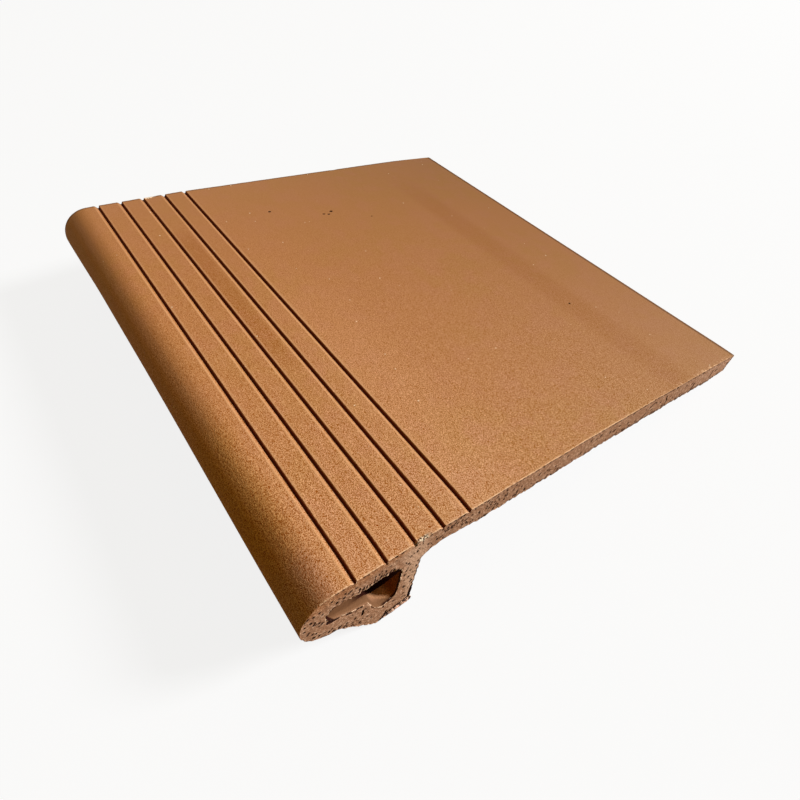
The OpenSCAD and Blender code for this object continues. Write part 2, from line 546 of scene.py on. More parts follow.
whole_outline = finder([outline[a] + (outline[b] - outline[a]) * k / 6 for a, b in edges for k in range(6)])
mouth = finder(hollow)


def gaps(points, lines=whole_outline):
    """Distance of each point from the outline, or from the hollow's mouth alone."""
    return np.array([lines.find((y, z, 0))[2] for y, z in points])


def inside(points):
    """Whether each point is in the clay: a line from it crosses the outline an odd number of times."""
    odd = np.zeros(len(points), bool)
    for a, b in edges:
        (ya, za), (yb, zb) = outline[a], outline[b]
        if za != zb:
            between = (za > points[:, 1]) != (zb > points[:, 1])
            odd ^= between & (points[:, 0] < ya + (points[:, 1] - za) * (yb - ya) / (zb - za))
    return odd


def ragged_at(y, z):
    """How ragged the wire leaves the arris there: most where it left the clay, at the underside."""
    return 0.0 if z > top_z(y) - 2.5 or (y < 8 and z > 30) else 1.0


print("a face has", len(edges), "edges round it")

# %% [markdown]
# A row of points just inside the outline lets the arris wear round. The rest is a lattice, shaken a
# little so that none of its lines shows, and finer along the cracks. Each pit gets two rings.

# %% Points of a face
RIM_DEPTH, FINE_Y, FINE_Z = 0.34, 0.27, 0.25
TORN_HEIGHT = 2.4  # how far below its crack the foot is torn
RINGS = ((1.08, 10), (0.82, 8), (0.0, 1))  # each: share of the pit's radius and number of points


def rim_row(depth):
    rows = []
    for loop, inner_side in ((np.array(outer), 1), (np.array(hollow), -1)):
        along = np.roll(loop, -1, 0) - np.roll(loop, 1, 0)
        inward = np.stack([-along[:, 1], along[:, 0]], 1) / np.hypot(*along.T)[:, None]
        rows.append(loop + inward * depth * inner_side)
    return np.concatenate(rows)


def staggered(low, high, step_y, step_z, shift):
    """A lattice of points in which every other row is shifted."""
    y, z = np.meshgrid(np.arange(low[0], high[0], step_y), np.arange(low[1], high[1], step_z))
    return np.stack([(y + (np.arange(len(y)) % 2)[:, None] * shift).ravel(), z.ravel()], 1)


def lattice_for(step, cracks):
    lattice = staggered((-0.3, 0.1), (DEPTH, NOSING), step, step * 0.866, step / 2)
    lattice += np.random.RandomState(3).uniform(-0.12, 0.12, lattice.shape) * step
    for line, width, _ in cracks:
        fine = staggered(np.min(line, 0) - 4, np.max(line, 0) + 4, FINE_Y, FINE_Z, 0.13)
        half = TORN_HEIGHT / 2 if line is FOOT_CRACK else 0.0
        near_line = np.abs(to_line(fine, line) + half) < half + 1.3 * width + 0.25
        away = np.abs(to_line(lattice, line) + half) > half + 1.3 * width + 0.45
        lattice = np.concatenate([lattice[away], fine[near_line]])
    return lattice


def rings(pit):
    """Points on a pit's rim, on its wall and in its middle."""
    y, z, r, stretched, lean, _ = pit
    turns = [(share * r, 2 * math.pi * k / count) for share, count in RINGS for k in range(count)]
    ovals = [(size * stretched * math.cos(t), size * math.sin(t)) for size, t in turns]
    return [(y + u * math.cos(lean) - v * math.sin(lean), z + u * math.sin(lean) + v * math.cos(lean))
            for u, v in ovals]


print("lattice ready")

# %% [markdown]
# Each point also carries what the clay is like there: how deep a pit or a crack makes it, whether it
# belongs to the torn strip or to the flake, and how near the hollow's mouth it is. The node tree moves
# the points by these marks, and the material colours them by them.

# %% Marks of a face
def dug(points, pits, cracks, gap):
    """How deep pits and cracks make each point, and how much painted shade darkens it there."""
    sink, gash = np.zeros(len(points)), np.zeros(len(points))
    for pit in pits:
        away = in_pit(points, pit)
        sink = np.maximum(sink, pit[5] * np.clip((1.08 - away) / 0.26, 0, 1))
        gash = np.maximum(gash, np.clip((1.16 - away) / 0.1, 0, 1))
    sink *= np.clip(gap / 0.5, 0, 1)
    for line, width, depth in cracks:
        off = to_line(points, line)
        sink = np.maximum(sink, depth * np.clip(1.25 - np.abs(off) / width, 0, 1))
        reach = 1.3 * width + (0.1 + 0.3 * (off < 0) if line is FOOT_CRACK else 0.0)
        gash = np.maximum(gash, np.clip((reach - np.abs(off)) / 0.25, 0, 1))
    return sink, gash


def face_marks(points, pits, cracks):
    gap = gaps(points)
    gap[:len(outline)] = 0
    sink, gash = dug(points, pits, cracks, gap)
    torn, flake = np.zeros(len(points)), np.zeros(len(points))
    if cracks:
        in_foot = (points[:, 1] < 8) * (points[:, 0] > FOOT_BACK - FOOT_WIDTH)
        torn = np.clip(-to_line(points, FOOT_CRACK) / 0.8, 0, 1) * in_foot
        from_flake = np.hypot(points[:, 0] - FLAKE[0], (points[:, 1] - FLAKE[1]) * 1.6) / FLAKE[2]
        flake = np.clip(1.4 - from_flake, 0, 1)
    return {"gap": gap * MM, "sink": sink * MM, "gash": gash, "torn": torn, "flake": flake,
            "rim": np.exp(-gaps(points, mouth) / 0.95),
            "ragged": np.array([ragged_at(y, z) for y, z in points])}


print("marks ready")

# %% [markdown]
# Now each face is divided. A triangle without an area, or one in the hollow, is left out.

# %% Divide a face into triangles
# How far points keep from a pit, in its radii, and from the outline, in millimetres
PIT_CLEARANCE, ROW_CLEARANCE, CLEARANCE = 1.45, 0.25, 0.5


def cut_face(step, pits, cracks):
    """Points, triangles and marks of a cut face, in the section's plane."""
    lattice = lattice_for(step, cracks)
    for pit in pits:
        lattice = lattice[in_pit(lattice, pit) > PIT_CLEARANCE]
    round_pits = np.array([p for pit in pits for p in rings(pit)])
    rows, middle = rim_row(RIM_DEPTH), np.concatenate([lattice, round_pits])
    rows, middle = rows[inside(rows)], middle[inside(middle)]
    rows, middle = rows[gaps(rows) > ROW_CLEARANCE], middle[gaps(middle) > CLEARANCE]
    points = np.concatenate([outline, rows, middle])
    made = delaunay_2d_cdt([Vector(p) for p in points], edges, [], 0, 1e-7, True)
    assert len(made[0]) == len(points), "two points of a cut face are in one place"
    triangles = np.array(made[2])
    a, b, c = (points[triangles[:, k]] for k in range(3))
    area = ((b - a)[:, 0] * (c - a)[:, 1] - (b - a)[:, 1] * (c - a)[:, 0]) / 2
    triangles = triangles[area > 1e-4]
    triangles = triangles[inside(points[triangles].mean(1))]
    return points, triangles, face_marks(points, pits, cracks)


near_face = cut_face(0.62, near_pits, CRACKS)
far_face = cut_face(1.0, far_pits, [])
print("triangles: near end", len(near_face[1]), "far end", len(far_face[1]))

# %% [markdown]
# Both faces go into one mesh. The near one lies at x = 1 and the far one at x = -1, which only tells
# the node tree which end a point belongs to. Its first points are the near outline in order, so the
# walls can be hung on them by number.

# %% The flat faces as a mesh
flat = bpy.data.meshes.new("cut faces")
points = [(side, y * MM, z * MM) for side, face in ((1.0, near_face), (-1.0, far_face)) for y, z in face[0]]
faces = near_face[1].tolist() + (far_face[1][:, ::-1] + len(near_face[0])).tolist()
flat.from_pydata(points, [], faces)
for name in near_face[2]:
    values = np.concatenate([near_face[2][name], far_face[2][name]]).astype(np.float32)
    flat.attributes.new(name, "FLOAT", "POINT").data.foreach_set("value", values)
print("flat faces:", len(flat.vertices), "points")

# %% [markdown]
# ## From the section to the tread
#
# The node tree does what the die and the wire did. It presses the grooves into the section at an even
# pitch, hangs two walls between the ends, one round the outside and one round the hollow, and closes
# them with the cut faces.
#
# Then every point moves a little. Wear, chips, tears, drag marks, pits and the slight wave of a plate
# that dried unevenly all go inwards, along the normal. Only the burrs at the cut go outwards, and no
# further than the tipped tread has room for inside the solid model's box.

# %% Node tree: inputs
tree = bpy.data.node_groups.new("extruded tread", "GeometryNodeTree")
SIZES = {
    "Length": LENGTH * MM, "Nosing height": NOSING * MM, "Crest fall": (NOSING - crest[1]) * MM,
    "Crest place": crest[0] * MM, "Groove count": float(GROOVES), "First groove": FIRST_GROOVE * MM,
    "Groove pitch": GROOVE_PITCH * MM, "Groove width": GROOVE_WIDTH * MM,
    "Groove depth": GROOVE_DEPTH * MM, "Outer points": float(len(outer)),
    "Hollow points": float(len(hollow)), "Rings": 50.0, "End inset": 2.3 * MM, "Bow": 2.1 * MM,
    "Slant": 1.1 * MM, "Wear": 0.55 * MM, "Chips": 1.5 * MM, "Raggedness": 0.7 * MM,
    "Drag marks": 0.45 * MM, "Burr": 2.3 * MM, "Fringe": 2.5 * MM, "Pull": 0.5 * MM, "Sag": 0.9 * MM,
    "Warp": 0.2 * MM, "Seed": 4.0,
}


def socket(name, kind, in_out="INPUT"):
    return tree.interface.new_socket(name, in_out=in_out, socket_type="NodeSocket" + kind)


socket("Geometry", "Geometry", "OUTPUT")
socket("Geometry", "Geometry")
for name, value in SIZES.items():
    socket(name, "Float").default_value = value
for name, kind in (("Rest angle", "Float"), ("Rest place", "Vector"), ("Clay", "Material")):
    socket(name, kind)
source = tree.nodes.new("NodeGroupInput")


def given(name):
    return Wire(source.outputs[name])


def attribute(name):
    return add(tree, "GeometryNodeInputNamedAttribute", {"data_type": "FLOAT"}, {"Name": name})


def moved(geometry, **sockets):
    return add(tree, "GeometryNodeSetPosition", {}, {"Geometry": geometry, **sockets})


def stored(geometry, name, value, domain="POINT"):
    return add(tree, "GeometryNodeStoreNamedAttribute", {"data_type": "FLOAT", "domain": domain},
               {"Geometry": geometry, "Name": name, "Value": value})


def within(distance, reach):
    """1 where the distance is nothing, and evenly down to 0 at the reach."""
    return (1 - distance / reach).held()


print("inputs:", ", ".join(SIZES))

# %% [markdown]
# Each groove has a long front flank and a short, steep rear one. The nearest groove is found by
# rounding, so any number of them costs the same nodes.

# %% Node tree: grooves pressed into the section
PRESSED = 0.005  # how far below the top the clay still gives way
where = add(tree, "GeometryNodeInputPosition")
y, z = where.part(1), where.part(2)
pitch, width = given("Groove pitch"), given("Groove width")
number = ((y - given("First groove")) / pitch).sum("ROUND").most(0.0).least(given("Groove count") - 1.0)
across = y - given("First groove") - number * pitch
front_flank = across.ramp(width * -0.30, width * 0.46)
rear_flank = across.fade(width * 0.39, width * 0.52)
last = given("First groove") + (given("Groove count") - 1.0) * pitch
fall = ((last - y) / (last - given("Crest place"))).held()
below = given("Nosing height") - given("Crest fall") * fall - z
press = given("Groove depth") * front_flank * rear_flank * within(below, PRESSED)
section = moved(given("Geometry"), Offset=triple(tree, 0.0, 0.0, -press))
print("grooves ready")

# %% [markdown]
# A wire doesn't cut quite straight. Both ends bow towards the rear of the plate, where the wire lagged,
# and wander a little, and the near one slants in below the plate.

# %% Node tree: where the two cuts run
# For each: where it starts and over what length it comes in, in metres
NEAR_BOW, FAR_BOW, SLANT = (0.15, 0.1426), (0.245, 0.048), (0.042, 0.036)


def ends(place):
    """Where the near and the far cut cross the line along the tread through a place in the section."""
    y, z = place.part(1), place.part(2)
    wander = noise(tree, triple(tree, 0.0, y, z), 0.016, given("Seed"), 1.0) - 0.5
    near = given("Length") / 2.0 - given("End inset") + wander * 0.0006
    near = near + given("Bow") * ((y - NEAR_BOW[0]) / NEAR_BOW[1]).held() ** 1.5
    near = near + given("Slant") * ((SLANT[0] - z) / SLANT[1]).held()
    wander = noise(tree, triple(tree, 1.0, y, z), 0.016, given("Seed"), 1.0)
    far = given("Length") / -2.0 + wander * 0.0002
    return near, far + given("Bow") * 1.2 * ((y - FAR_BOW[0]) / FAR_BOW[1]).held() ** 1.6


print("cuts ready")

# %% [markdown]
# Each wall is a grid bent into a tube: one direction runs along the tread, and the other looks up the
# outline's points in turn. Its rings crowd at the ends, where the arrises are worn. The faces and the
# walls meet point on point, so merging them closes every seam.

# %% Node tree: walls and ends
BUNCHING = 0.95  # 0 spaces the rings evenly, and near 1 they crowd at the ends
FULL_TURN = 2 * math.pi


def wall(count, first):
    """A closed wall of rings between the ends, over a run of the outline's points."""
    grid = add(tree, "GeometryNodeMeshGrid", {}, {
        "Size X": 1.0, "Size Y": 1.0, "Vertices X": given("Rings") + 1.0, "Vertices Y": count + 1.0})
    along, step = where.part(0) + 0.5, ((where.part(1) + 0.5) * count).sum("ROUND")
    step = step.sum("MODULO", count) + first

    def sample(kind, value):
        return add(tree, "GeometryNodeSampleIndex", {"data_type": kind, "domain": "POINT"},
                   {"Geometry": section, "Value": value, "Index": step})

    place = sample("FLOAT_VECTOR", where)
    near, far = ends(place)
    share = along - BUNCHING / FULL_TURN * (along * FULL_TURN).sum("SINE")
    for name in ("ragged", "flake", "gash"):
        grid = stored(grid, name, sample("FLOAT", attribute(name)))
    return moved(grid, Position=triple(tree, far + (near - far) * share, place.part(1), place.part(2)))


skin = add(tree, "GeometryNodeFlipFaces", {}, {"Mesh": wall(given("Outer points"), 0.0)})
tunnel = stored(wall(given("Hollow points"), given("Outer points")), "tunnel", 1.0, "FACE")
near, far = ends(where)
at_near = where.part(0).sum("GREATER_THAN", 0.0)
caps = moved(section, Position=triple(tree, far + (near - far) * at_near, y, z))
caps = stored(caps, "cut", 1.0, "FACE")
joined = add(tree, "GeometryNodeJoinGeometry")
for part in (tunnel, skin, caps):
    tree.links.new(part.socket, joined.socket.node.inputs[0])
closed = add(tree, "GeometryNodeMergeByDistance", {}, {"Geometry": joined, "Distance": 0.00001})
print("walls ready")

# %% [markdown]
# ### Wear
#
# An arris of fired clay is never sharp. It is worn round, with a chip here and there, and along the
# underside the wire tore it in small bites.

# %% Node tree: worn and torn arrises
near, far = ends(where)
x, seed = where.part(0), given("Seed")
at_cut = attribute("gap")


def lumpy(size, detail=1.0):
    """Noise in the clay, with lumps about that many metres wide."""
    return noise(tree, where, size, seed, detail)


def near_end(reach):
    """1 at the near cut, and evenly down to 0 at that distance from it."""
    return within(near - x, reach)


from_arris = (near - x).least(x - far).most(0.0) + at_cut
radius = given("Wear") * (0.4 + 1.2 * lumpy(0.009, 2.0))
radius = radius + given("Chips") * ((lumpy(0.013) - 0.66) / 0.1).held()
worn = 0.41 * radius * within(from_arris, radius) ** 2.0
ragged = (0.15 + 0.85 * attribute("ragged")) * y.ramp(0.09, 0.14, 1.0, 0.7)
tear = ((lumpy(0.0026) - 0.42).most(0.0) + (lumpy(0.006) - 0.5).most(0.0)) * ragged * 4.0
tear = given("Raggedness") * tear * (1 - attribute("torn")) * (from_arris / -0.0009).sum("EXPONENT")
flaked = attribute("flake") * within(from_arris, 0.0026) * 0.0011
flaked = flaked * (0.35 + 1.3 * lumpy(0.0016, 2.0).ramp(0.35, 0.65))
print("arrises ready")

# %% [markdown]
# On the faces the wire dragged grit along, which left fine lines. It also raised a thin lip round the
# hollow's near mouth. The torn strip is rough, and so is the underside of the foot where it was split.

# %% Node tree: the cut faces and the split foot
near_cut = near_end(0.009)
along_wire = triple(tree, x, (y + z) * 0.14, (z - y) * 0.7)
drag = given("Drag marks") * noise(tree, along_wire, 0.0012, seed, 3.0) * (at_cut / 0.0006).held()
rough = (lumpy(0.0011, 2.0) - 0.35).most(0.0) * attribute("torn") * 0.0025
lip_height = -0.0008 * y.ramp(0.0135, 0.0175) * (1 - y.ramp(0.029, 0.032) * y.ramp(0.036, 0.039, 0.7, 0.0))
lifted = lumpy(0.0016).ramp(0.35, 0.6) * attribute("rim") * lip_height * near_cut
under_foot = z.fade(0.0012, 0.0024)
split = under_foot * noise(tree, triple(tree, x * 0.3, y, z), 0.0035, seed, 2.0) * 0.0014 * (1 - near_cut)
print("faces ready")

# %% [markdown]
# Where the wire left the clay it pushed some of it out. Crumbs hang below the foot's end and behind its
# heel, and a ragged fringe below the plate. The tread is tipped, so there is room for them above the
# floor, except at the two edges that it rests on.

# %% Node tree: burrs that hang from the near end
FLOOR_SLOPE = 0.165  # a little less than the floor's slope as the section sees it
HEEL_REST, REAR_REST, FRINGE_TOP = 0.0538, 0.2914, 0.0398


def room(rest, size):
    """How far clay can hang down in front of an edge that rests on the floor."""
    return ((rest - y) * FLOOR_SLOPE).most(0.0).least(given(size))


lumps = lumpy(0.0028, 2.0).ramp(0.35, 0.6, 0.6, 1.0)
hang = room(HEEL_REST, "Burr") * y.ramp(0.0355, 0.039) * within(z, 0.0035) * lumps * near_cut
heel = y.ramp(0.052, 0.055) * z.band(0.0004, 0.0014, 0.003, 0.005)
heel = heel * given("Burr") * 0.65 * lumps * near_cut
fringe = room(REAR_REST, "Fringe") * y.ramp(0.074, 0.092) * within(z - FRINGE_TOP, 0.005)
fringe = fringe * lumpy(0.0022).ramp(0.35, 0.6, 0.45, 1.0) * near_end(0.004)
print("burrs ready")

# %% [markdown]
# Stiff clay also gives as a whole. The front of the nosing is drawn in a little along its middle, the
# wire pulled the top forward over the last millimetres, and behind the foot it left a swelling and a
# dent.

# %% Node tree: sag, pull and warp
sag = given("Sag") * x.fade(-0.02, 0.145) * x.ramp(-0.15, -0.08) * y.fade(0.004, 0.014)
sag = sag * z.fade(0.034, 0.048)
pull = given("Pull") * near_end(0.016) ** 2.0 * within(below, 0.006)
knee = y.band(0.0545, 0.0555, 0.057, 0.060) * z.band(0.022, 0.032, 0.042, 0.045) * near_cut * 0.0008
dent = y.band(0.061, 0.064, 0.069, 0.074) * z.fade(0.042, 0.047) * near_cut * 0.0009
warp = given("Warp") * lumpy(0.09)
burr = triple(tree, 0.0, heel + sag + knee - pull, dent - (hang + fringe + knee))
inwards = worn + tear + flaked + drag + rough + split + lifted + warp + attribute("sink")
print("wear ready")

# %% [markdown]
# The material has to find the same places after the tread has tipped, so the tree marks them first: the
# distance from the cut, each groove's lips and steep flank, the split underside, the top, how near a
# point is to the hollow's roof, and how far back from the nosing.

# %% Node tree: marks for the material, and the move
ROOF = (NOSING - 14.0) * MM
near_top = below.fade(0.0026, 0.0034)
front_lip = across.band(width * -0.42, width * -0.28, width * -0.16, width * 0.04)
rear_lip = across.band(width * 0.48, width * 0.56, width * 0.66, width * 0.90)
in_groove = across.band(width * 0.17, width * 0.34, width * 0.45, width * 0.53)
# The lip, groove and under marks tell the material where to paint highlights and shade.
marks = {"edge": from_arris, "lip": front_lip.most(rear_lip) * near_top, "groove": in_groove * near_top,
         "split": under_foot, "top": near_top, "under": from_arris * 3.6 + z - ROOF, "back": y}
marked = closed
for name, value in marks.items():
    marked = stored(marked, name, value)
normal = add(tree, "GeometryNodeInputNormal")
finished = moved(marked, Offset=normal * -inwards + burr)
print("marks:", ", ".join(marks))

# %% [markdown]
# At last the tread tips back on to its rear edge, as it lies on the floor, and gets its material.

# %% Node tree: set down as it rests, smooth shading and material
smooth = add(tree, "GeometryNodeSetShadeSmooth", {"domain": "FACE"},
             {"Geometry": finished, "Shade Smooth": True})
resting = add(tree, "GeometryNodeTransform", {}, {
    "Geometry": smooth, "Rotation": triple(tree, -given("Rest angle")),
    "Translation": given("Rest place")})
real = add(tree, "GeometryNodeRealizeInstances", {}, {"Geometry": resting})
clayed = add(tree, "GeometryNodeSetMaterial", {}, {"Geometry": real, "Material": given("Clay")})
end = tree.nodes.new("NodeGroupOutput")
tree.links.new(clayed.socket, end.inputs[0])


def tipped(y, z):
    """The section's [y, z] once the tread has tipped back on to its rear edge."""
    return (y * math.cos(tilt) + z * math.sin(tilt), z * math.cos(tilt) - y * math.sin(tilt))


front = tipped(*nose[:2])[0] - NOSE_R
rear = tipped(*rear_top[:2])[0] + EDGE_R
ground = tipped(*foot_heel[:2])[1] - FOOT_R
print("depth as it rests", round(rear - front, 2), "mm, and the CAD's",
      round((box_high.y - box_low.y) / MM, 2))

# %% [markdown]
# The inputs are set by their sockets before the tread is first worked out. What comes out of the tree
# becomes a plain mesh, and the modifier has done its work.

# %% Make the tread
clay_material = bpy.data.materials.new("fired clay")
tread = bpy.data.objects.new("fired_tread", flat)
bpy.context.scene.collection.objects.link(tread)
extrusion = tread.modifiers.new("section along a line", "NODES")
extrusion.node_group = tree
values = {**SIZES, "Rest angle": tilt, "Clay": clay_material,
          "Rest place": (0.0, -(front + rear) / 2 * MM, -ground * MM)}
for item in tree.interface.items_tree:
    if item.in_out == "INPUT" and item.name in values:
        extrusion[item.identifier] = values[item.name]
whole = bpy.data.meshes.new_from_object(tread.evaluated_get(bpy.context.evaluated_depsgraph_get()))
tread.modifiers.clear()
tread.data = whole
print("tread:", len(whole.vertices), "points,", len(whole.polygons), "faces")

# %% [markdown]
# Lime and small stones near the skin pop out in the kiln, and each leaves a little hole. The few on
# this tread lie far apart on the plate, where the mesh is coarse. So the faces near each hole are
# halved until they are small enough, and then the hole is pressed in.

# %% Pop-outs in the plate
# Each one: place along the tread, place back from the nosing, radius and depth, in millimetres
POP_OUTS = [(-90.3, 157.3, 1.2, 1.3), (-87.3, 153.5, 1.1, 1.0), (-88.6, 150.8, 0.9, 0.8),
            (-104.0, 117.4, 1.1, 0.9), (65.8, 235.4, 0.8, 0.8), (-74.3, 181.0, 0.7, 0.5)]
LONGEST_EDGE = 0.22 * MM
work = bmesh.new()
work.from_mesh(whole)
sunk = work.verts.layers.float["sink"]
up = Vector((0, math.sin(tilt), math.cos(tilt)))


def is_near(face, place, reach):
    """Whether a face looks up and its box, seen from above, comes that near a place."""
    if face.normal.dot(up) < 0.95:
        return False
    xs, ys = [v.co.x for v in face.verts], [v.co.y for v in face.verts]
    return math.hypot(max(min(xs) - place.x, 0, place.x - max(xs)),
                      max(min(ys) - place.y, 0, place.y - max(ys))) < reach


for along, back, radius, depth in POP_OUTS:
    gy, gz = tipped(back, NOSING)
    place = Vector((along, gy - (front + rear) / 2, gz - ground)) * MM
    faces = [f for f in work.faces if is_near(f, place, 1.5 * radius * MM)]
    for _ in range(8):
        long_edges = {e for f in faces for e in f.edges if e.calc_length() > LONGEST_EDGE}
        if not long_edges:
            break
        bmesh.ops.subdivide_edges(work, edges=list(long_edges), cuts=1, use_grid_fill=True)
        near_verts = {v for f in faces if f.is_valid for v in f.verts}
        around = {f for v in near_verts for f in v.link_faces}
        faces = [f for f in around if is_near(f, place, 1.5 * radius * MM)]
    for vert in {v for f in faces for v in f.verts}:
        share = min(1, max(0, (1 - (vert.co - place).length / (radius * MM)) / 0.45))
        vert.co -= up * depth * MM * share
        # The sink mark lets the material paint the hole dark, as painted shade.
        vert[sunk] = max(vert[sunk], 0.25 * depth * MM * share)
bmesh.ops.triangulate(work, faces=[f for f in work.faces if len(f.verts) > 4])
work.to_mesh(whole)
work.free()
print("with pop-outs:", len(whole.vertices), "points")

# %% [markdown]
# ## Fired clay
#
# One material covers the whole tread, because it is one lump of clay, but the clay shows two faces. The
# skin that slid along the die is dense, orange and slightly sandy. Where the wire or the hammer opened
# it, it is paler and pinker, with dark pits.
#
# The patterns come first: wide patches from the fire, a finer mottle, and sand, grit and crumbs. The
# sand shows most towards the near front corner.

# %% Clay: patterns
tree = new_tree(clay_material)
where = add(tree, "ShaderNodeTexCoord").other("Object")
x, y, height = where.part(0), where.part(1), where.part(2)


def colour(factor, a, b, blend="MIX"):
    return add(tree, "ShaderNodeMix", {"data_type": "RGBA", "blend_type": blend},
               {"Factor_Float": factor, "A_Color": a, "B_Color": b}, out=2)


def tinted(base, red, green, blue):
    """A colour whose three parts are each raised by a share of themselves."""
    factors = add(tree, "ShaderNodeCombineColor", {}, {0: 1 + red, 1: 1 + green, 2: 1 + blue})
    return colour(1.0, base, factors, "MULTIPLY")


def mark(name):
    return add(tree, "ShaderNodeAttribute", {"attribute_name": name}, out=2)


def row_y(y):
    """Place along the scene's Y of a point of the top surface, in metres."""
    return (tipped(y, NOSING)[0] - (front + rear) / 2) * MM


def rows(low, high, start=0.0, end=1.0):
    """A change between two places on the top, in millimetres back from the nosing."""
    return y.ramp(row_y(low), row_y(high), start, end)


def strip(low, high, fade_low, fade_high):
    return rows(low, high) * rows(fade_low, fade_high, 1.0, 0.0)


patches = noise(tree, where, 0.055, 1.0, 2.0)
mottle = noise(tree, where, 0.012, 2.0, 3.0)
sand = noise(tree, where, 0.0004, 3.0, 1.0, 0.6).ramp(0.32, 0.68)
grit = noise(tree, where, 0.0013, 4.0, 2.0)
crumbs = noise(tree, where, 0.0011, 5.0, 2.0)
specks = noise(tree, where, 0.0007, 6.0, 1.0)
coarse = (x - 0.55 * y).ramp(-0.10, 0.175, 0.13, 0.98, "LINEAR") * rows(190, 280, 1.0, 0.5)
backward = rows(170, 240)
cell = add(tree, "ShaderNodeTexVoronoi", {}, {"Vector": where, "Scale": 170.0})
drawn = add(tree, "ShaderNodeSeparateColor", {}, {"Color": cell.other("Color")})
flecks = cell.fade(0.045, 0.08) * drawn.ramp(0.74, 0.92)
print("patterns ready")

# %% [markdown]
# The skin is gone on the cut faces, the torn strip, the flake and the split underside, and for a few
# millimetres in from a ragged arris. The worn top arrises get a painted highlight, and the lower ragged
# arrises painted shade, broken up by crumbs.

# %% Clay: where it is open
edge, ragged, flake, outside = mark("edge"), mark("ragged"), mark("flake"), 1 - mark("tunnel")
opened = mark("cut").most(mark("torn")).most(ragged * edge.fade(0.0008, 0.0032) * outside)
opened = opened.most(flake * edge.fade(0.0011, 0.0022)).most(mark("split") * outside)
# Painted highlight along the worn top arris.
arris = mark("top") * outside * edge.fade(0.0004, 0.0010) * crumbs.ramp(0.36, 0.52)
face_arris = mark("top") * edge.fade(0.0002, 0.0005)
# Painted shade along the lower ragged arrises of the cut faces, broken up by crumbs.
low_arris = ragged * outside * edge.fade(0.0003, 0.0011) * mark("rim").fade(0.2, 0.5)
low_arris = low_arris * crumbs.ramp(0.42, 0.54, 1.0, 0.2)
far_low = ragged * outside * edge.fade(0.0009, 0.0019) * rows(110, 210)
far_low = far_low * crumbs.ramp(0.46, 0.60, 1.0, 0.3)
at_end = mark("cut").most(edge.fade(0.0015, 0.0040))
# Painted shade: where a pit, crack or pop-out sinks in by 0.12 mm or more, its colour is painted dark.
sunk = (mark("sink") / 0.00012).held()
print("masks ready")

# %% [markdown]
# The skin is yellower here and pinker there. Painted light makes it paler towards the near front
# corner and darker towards the far rear. The round front of the nosing gets painted light and shade of
# its own, with a painted paler line where it turns over.

# %% Clay: the skin's colour
SKIN, SKIN_PINK, SKIN_OLIVE = (0.452, 0.191, 0.070, 1), (0.456, 0.192, 0.077, 1), (0.44, 0.192, 0.064, 1)
skin = colour(patches.ramp(0.35, 0.6), SKIN_OLIVE, SKIN)
skin = colour(mottle.ramp(0.4, 0.7), skin, SKIN_PINK)
# Painted light: the skin is painted paler and bluer towards the near front corner and darker towards the
# far rear, as if the light fell unevenly.
bend = x * x
skin = tinted(skin, 0.02 + 0.85 * x - 1.4 * y - 0.3 * bend, 0.03 + 1.2 * x - 1.2 * y + 3.0 * bend,
              0.04 + 1.8 * x - 0.8 * y + 7.5 * bend)
# Painted light and shade on the nosing's front, which lies in shade: paler and bluer towards the far end,
# darker at the near end's brow.
brow = rows(6, 20, 1.0, 0.0)
front_low = brow * height.fade(0.050, 0.058)
paler = ((0.07 - x) / 0.21).most(-0.2)
darker = brow * x.ramp(0.08, 0.14) * height.ramp(0.052, 0.056)
skin = tinted(skin, front_low * (paler * 0.5 + 0.10) - brow * 0.07 - darker * 0.17,
              front_low * (paler * 0.8 + 0.13) - brow * 0.10 - darker * 0.24,
              front_low * (paler * 2.2 + 0.08) - brow * 0.22 - darker * 0.38)
# Painted light and shade where the nosing turns over: a paler line with a darker band behind it, and a
# bluer near tip.
back = mark("back")
turn = back.band(0.0022, 0.0040, 0.0042, 0.0060) * 0.17 - back.band(0.0060, 0.0074, 0.0078, 0.0100) * 0.09
tip = brow * x.ramp(0.120, 0.136)
bluer = tip * 0.6 - brow * x.band(0.04, 0.07, 0.110, 0.120) * 0.22
skin = tinted(skin, turn - tip * 0.05, turn, turn + bluer)
print("skin ready")

# %% [markdown]
# On it lie the sand's speckle, a painted paler band behind the nosing, faint streaks where the die
# rubbed, painted highlights on the groove lips and the worn top arrises, a few cream flecks, and crumbs
# at the rear of the near arris. Each groove's steep flank is painted dark, as painted shade.

# %% Clay: marks on the skin
LIP_HIGHLIGHT, SHADE = (0.70, 0.37, 0.17, 1), (0.12, 0.018, 0.003, 1)
ARRIS, CREAM = (0.92, 0.58, 0.34, 1), (1.0, 0.84, 0.60, 1)
streak = strip(222, 232, 241, 252) * x.ramp(-0.14, -0.06) * 0.07
smear = strip(50, 52, 59, 61) * x.band(-0.11, -0.08, 0.02, 0.05) * 0.12
# Painted light: a slightly paler band across the plate behind the nosing, towards the near end.
ridge = strip(50, 80, 90, 130) * x.ramp(-0.08, 0.05) * 0.06
speckle = ridge + coarse * ((sand - 0.5) * 1.05 + (grit - 0.5) * 0.4) - streak - smear
skin = tinted(skin, speckle * 0.93, speckle * 1.45, speckle * 2.35)
crumbly = mark("top") * edge.fade(0.0006, 0.0026) * grit.ramp(0.54, 0.62)
crumbly = crumbly * rows(190, 225) * x.ramp(0.130, 0.140) * mottle.ramp(0.42, 0.50)
